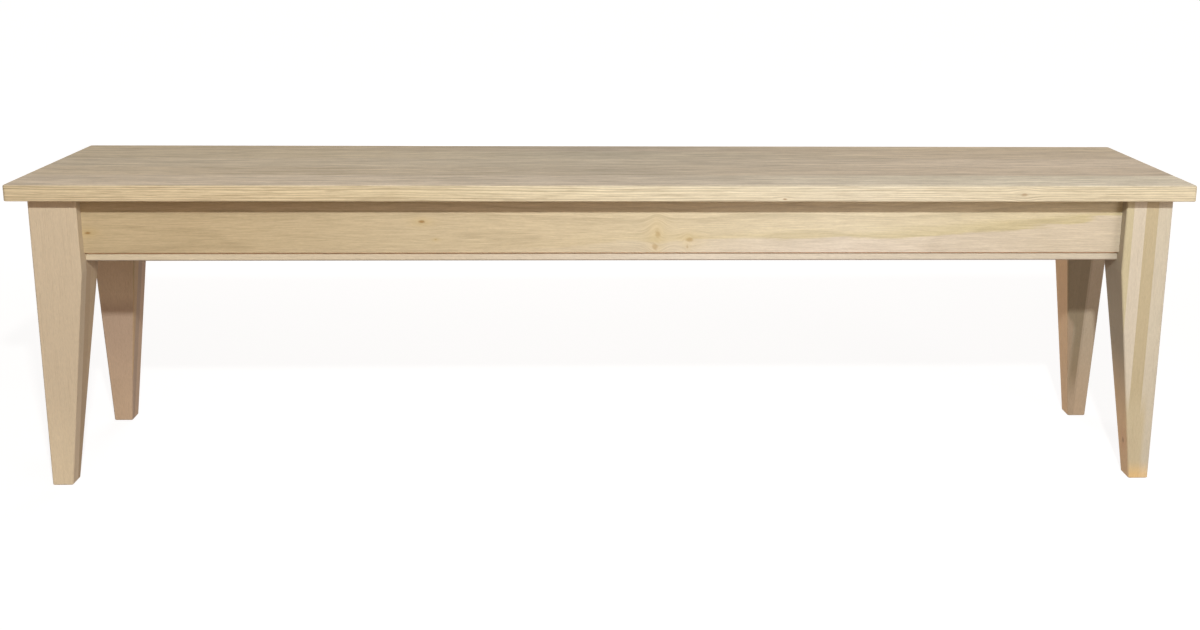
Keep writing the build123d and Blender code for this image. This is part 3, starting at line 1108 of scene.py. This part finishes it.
def crossOutline(z):
    half = screw["slotWidth"] / 2
    reach = screw["slotLength"] / 2
    arm = [(reach, -half), (reach, half), (half, half)]
    points = []
    for quarter in range(4):
        turn = Matrix.Rotation(math.radians(90 * quarter), 3, "Z")
        points += [turn @ Vector((x, y, 0)) + Vector((0, 0, z)) for x, y in arm]
    return points


def screwShape(length):  # the head's seat is at the origin and the point is down
    shape = bmesh.new()
    core, radius, plain = screw["coreRadius"], screw["radius"], screw["plainShank"]
    head, top, crown = screw["headRadius"], screw["headHeight"], screw["headCrown"]
    levels = [
        (core * 0.15, -length),
        (core, -length + screw["pointLength"]),
        (core, -plain),
        (radius, -plain + (radius - core)),
        (radius, 0.0),
        (head, 0.0),
        (head, top - crown),
        (head - crown * 0.3, top - crown * 0.3),
        (head - crown, top),
    ]
    rings = [ringOf(shape, reach, z, screw["sides"]) for reach, z in levels]
    for lower, upper in zip(rings, rings[1:]):
        bridge(shape, lower, upper)
    shape.faces.new(list(reversed(rings[0])))
    lip = [shape.verts.new(point) for point in crossOutline(top)]
    floor = [shape.verts.new(point) for point in crossOutline(top - screw["slotDepth"])]
    rim = [shape.edges.get((a, b)) for a, b in zip(rings[-1], rings[-1][1:] + rings[-1][:1])]
    lipEdges = [shape.edges.new((a, b)) for a, b in zip(lip, lip[1:] + lip[:1])]
    bmesh.ops.bridge_loops(shape, edges=rim + lipEdges)
    bridge(shape, lip, floor)
    shape.faces.new(floor)
    addThread(shape, length)
    bmesh.ops.recalc_face_normals(shape, faces=shape.faces)
    return shape


def addThread(shape, length):  # a ridge of three sides that winds down round the core
    steps, pitch, core = screw["threadSteps"], screw["pitch"], screw["coreRadius"]
    start = -screw["plainShank"] - pitch * 0.5
    end = -length + screw["pointLength"] * 0.5
    count = int((start - end) / pitch * steps)
    rows = []
    for step in range(count + 1):
        angle = 2 * math.pi * step / steps
        z = start - pitch * step / steps
        fade = min(1.0, step / steps, (count - step) / steps + 0.05)
        root = core * (0.93 if z > -length + screw["pointLength"] else 0.6)
        crest = core + (screw["radius"] - core) * max(fade, 0.05)
        half = pitch * 0.32
        row = [(root, z + half), (crest, z), (root, z - half)]
        rows.append([shape.verts.new((r * math.cos(angle), r * math.sin(angle), h)) for r, h in row])
    for row, following in zip(rows, rows[1:]):
        bridge(shape, row, following)
    shape.faces.new(rows[0])
    shape.faces.new(list(reversed(rows[-1])))


def looseIslands(mesh):  # the boxes of a mesh's separate solids
    shape = bmesh.new()
    shape.from_mesh(mesh)
    bmesh.ops.remove_doubles(shape, verts=shape.verts, dist=1e-6)
    left = set(shape.verts)
    boxes = []
    while left:
        stack = [left.pop()]
        island = []
        while stack:
            vert = stack.pop()
            island.append(vert.co.copy())
            for edge in vert.link_edges:
                other = edge.other_vert(vert)
                if other in left:
                    left.remove(other)
                    stack.append(other)
        low = Vector([min(co[k] for co in island) for k in range(3)])
        high = Vector([max(co[k] for co in island) for k in range(3)])
        boxes.append((low, high))
    shape.free()
    return sorted(boxes, key=lambda box: tuple(box[0]))


def screwPlaces(node):  # the head's seat and the way the point looks, of each solid in the node
    places = []
    for low, high in looseIslands(nodes[node].data):
        size = high - low
        axis = max(range(3), key=lambda k: size[k])
        middle = (low + high) / 2
        way = 1.0 if axis == 2 or middle[axis] > 0 else -1.0
        direction = Vector((0, 0, 0))
        direction[axis] = way
        head = middle - direction * size[axis] / 2
        places.append((head + direction * screw["headHeight"], direction, size[axis] - screw["headHeight"]))
    return places


def makeScrewTree():
    inputs = {"Geometry": "Geometry", "Screw": "Object", "Turn Seed": "Int", "Material": "Material"}
    tree, given, result = newGroup("screwSet", "Geometry", inputs, {"Geometry": "Geometry"})
    wayName = {"Name": "way"}
    way = addNode(tree, "GeometryNodeInputNamedAttribute", wayName, data_type="FLOAT_VECTOR").outputs[0]
    aim = addNode(tree, "FunctionNodeAlignRotationToVector", {"Vector": way}, axis="Z").outputs[0]
    spin = addNode(tree, "FunctionNodeRandomValue", {"Seed": given["Turn Seed"]}, data_type="FLOAT")
    spin.inputs[3].default_value = 2 * math.pi
    about = addNode(tree, "ShaderNodeCombineXYZ", {"Z": spin.outputs[1]}).outputs[0]
    turn = addNode(tree, "FunctionNodeEulerToRotation", {0: about}).outputs[0]
    turns = {0: aim, 1: turn}
    turned = addNode(tree, "FunctionNodeRotateRotation", turns, rotation_space="LOCAL").outputs[0]
    shape = addNode(tree, "GeometryNodeObjectInfo", {"Object": given["Screw"], "As Instance": True})
    spots = {"Points": given["Geometry"], "Instance": shape.outputs["Geometry"], "Rotation": turned}
    spread = addNode(tree, "GeometryNodeInstanceOnPoints", spots).outputs[0]
    endWith(tree, spread, given, result)
    return tree


def steelMaterial():
    material, tree, shader = newMaterial("zincPlate")
    coords = addNode(tree, "ShaderNodeTexCoord").outputs["Object"]
    mottle = noise(coords, (900, 900, 900), 3.0)
    colour = mixColour(mottle, screenColour(178, 176, 168), screenColour(222, 216, 196))
    feed(shader.inputs["Base Color"], colour)
    feed(shader.inputs["Roughness"], remap(mottle, 0.3, 0.7, 0.28, 0.46))
    shader.inputs["Metallic"].default_value = 1.0
    bump = {"Height": mottle, "Distance": 0.00003, "Strength": 0.6}
    feed(shader.inputs["Normal"], addNode(tree, "ShaderNodeBump", bump).outputs[0])
    return material


def makeScrews():
    tree = makeScrewTree()
    steel = steelMaterial()
    for seed, kind in enumerate(("button", "rail", "brace")):
        node = kind + "_screws"
        places = screwPlaces(node)
        template = addObject("screwShape", finishMesh("screwShape", screwShape(places[0][2])))
        spots = bpy.data.meshes.new("screwSpots")
        spots.from_pydata([place for place, _, _ in places], [], [])
        ways = spots.attributes.new("way", "FLOAT_VECTOR", "POINT")
        for item, (_, way, _) in zip(ways.data, places):
            item.vector = -way  # the template's point is down, so its Z looks back
        values = {"Screw": template, "Turn Seed": seed + 5, "Material": steel}
        mesh = bakeNodes(addObject("screwSpots", spots), tree, values)
        bpy.data.objects.remove(template)
        addPiece(kind + "Screws", mesh, steel, "screw_steel", node)


makeScrews()
print("screws made")


# The studio: a pale floor, a key light and a soft box in front, a soft box behind, and a warm pale room
studio = {
    "skyStrength": 0.20,
    "skyColour": (1.0, 0.70, 0.53, 1.0),
    "lightAim": (0.5, 0.0, 0.35),
    "floorBounce": (0.44, 0.325, 0.255, 1.0),
    "floorSeen": 0.21,  # share of the floor's look that takes light and shadow
    "floorGlow": (0.875, 0.975),  # near the bench and far off
    "glowReach": (1.2, 4.0),
    "floorSpan": 60.0,
}

lights = {
    "key": {
        "kind": "POINT",
        "place": (0.10, -2.30, 1.79),
        "gleams": True,
        "lamp": {"energy": 218.0, "shadow_soft_size": 0.05},
    },
    "fill": {
        "kind": "AREA",
        "place": (2.3, -2.4, 1.1),
        "gleams": True,
        "lamp": {"energy": 26.0, "color": (1.0, 0.92, 0.90), "shape": "DISK", "size": 1.6},
    },
    "back": {
        "kind": "AREA",
        "place": (-0.3, 3.0, 1.5),
        "gleams": False,  # it would glare on the seat
        "lamp": {"energy": 48.0, "color": (1.0, 0.97, 0.93), "shape": "DISK", "size": 2.0},
    },
}


def seenRay(tree):  # camera, mirror and glass rays
    path = addNode(tree, "ShaderNodeLightPath").outputs
    glossy = calc("MAXIMUM", path["Is Glossy Ray"], path["Is Transmission Ray"])
    return calc("MAXIMUM", path["Is Camera Ray"], glossy)


def makeSky():
    world = bpy.data.worlds.new("paleRoom")
    tree = emptyTree(world)
    soft = {"Color": studio["skyColour"], "Strength": studio["skyStrength"]}
    light = addNode(tree, "ShaderNodeBackground", soft).outputs[0]
    plain = {"Color": (1.0, 1.0, 1.0, 1.0), "Strength": 1.0}
    white = addNode(tree, "ShaderNodeBackground", plain).outputs[0]
    mixed = addNode(tree, "ShaderNodeMixShader", {0: seenRay(tree), 1: light, 2: white}).outputs[0]
    addNode(tree, "ShaderNodeOutputWorld", {"Surface": mixed})
    bpy.context.scene.world = world


def makeFloor():
    half = studio["floorSpan"] / 2
    mesh = bpy.data.meshes.new("floor")
    corners = [(-half, -half, 0), (half, -half, 0), (half, half, 0), (-half, half, 0)]
    mesh.from_pydata(corners, [], [(0, 1, 2, 3)])
    floor = addObject("floor", mesh)
    floor.location.z = -0.0002
    material = bpy.data.materials.new("paleFloor")
    tree = emptyTree(material)
    bounce = addNode(tree, "ShaderNodeBsdfDiffuse", {"Color": studio["floorBounce"]}).outputs[0]
    share = studio["floorSeen"]
    matte = addNode(tree, "ShaderNodeBsdfDiffuse", {"Color": (share, share, share, 1.0)}).outputs[0]
    coords = addNode(tree, "ShaderNodeTexCoord").outputs["Object"]
    away = vectorCalc("LENGTH", coords)
    strength = remap(away, *studio["glowReach"], *studio["floorGlow"])
    glow = addNode(tree, "ShaderNodeEmission", {"Strength": strength}).outputs[0]
    seen = addNode(tree, "ShaderNodeAddShader", {0: matte, 1: glow}).outputs[0]
    mixed = addNode(tree, "ShaderNodeMixShader", {0: seenRay(tree), 1: bounce, 2: seen}).outputs[0]
    addNode(tree, "ShaderNodeOutputMaterial", {"Surface": mixed})
    mesh.materials.append(material)


def makeLight(name, kind, place, gleams, lamp):
    data = bpy.data.lights.new(name, kind)
    for key, value in lamp.items():
        setattr(data, key, value)
    light = addObject(name, data)
    light.location = place
    light.visible_glossy = gleams
    light.rotation_euler = (Vector(studio["lightAim"]) - Vector(place)).to_track_quat("-Z", "Y").to_euler()


# The camera stands where the photograph was taken from
view = {
    "place": (-0.02824, -2.18492, 0.88865),
    "turn": 0.03418,  # radians towards +X
    "tilt": 0.21571,  # radians down
    "roll": 0.00733,
    "focalPixels": 1334.46,  # at 1200 pixels across
    "centrePixel": (634.79, 214.47),
    "framePixels": (1200, 630),
    "sensor": 36.0,
}


def makeCamera():
    data = bpy.data.cameras.new("photoView")
    width, height = view["framePixels"]
    data.sensor_width = view["sensor"]
    data.lens = view["focalPixels"] * view["sensor"] / width
    data.shift_x = (width / 2 - view["centrePixel"][0]) / width
    data.shift_y = (view["centrePixel"][1] - height / 2) / width
    turn, tilt, roll = view["turn"], view["tilt"], view["roll"]
    forward = Vector((math.sin(turn) * math.cos(tilt), math.cos(turn) * math.cos(tilt), -math.sin(tilt)))
    right = Vector((math.cos(turn), -math.sin(turn), 0.0))
    up = right.cross(forward)
    rolledRight = right * math.cos(roll) + up * math.sin(roll)
    rolledUp = up * math.cos(roll) - right * math.sin(roll)
    camera = addObject("photoView", data)
    axes = Matrix((rolledRight, rolledUp, -forward)).transposed()
    camera.matrix_world = Matrix.Translation(view["place"]) @ axes.to_4x4()
    bpy.context.scene.camera = camera


makeSky()
makeFloor()
for name, light in lights.items():
    makeLight(name, **light)
makeCamera()
bpy.context.scene.view_settings.view_transform = "Standard"
print("studio and camera set")
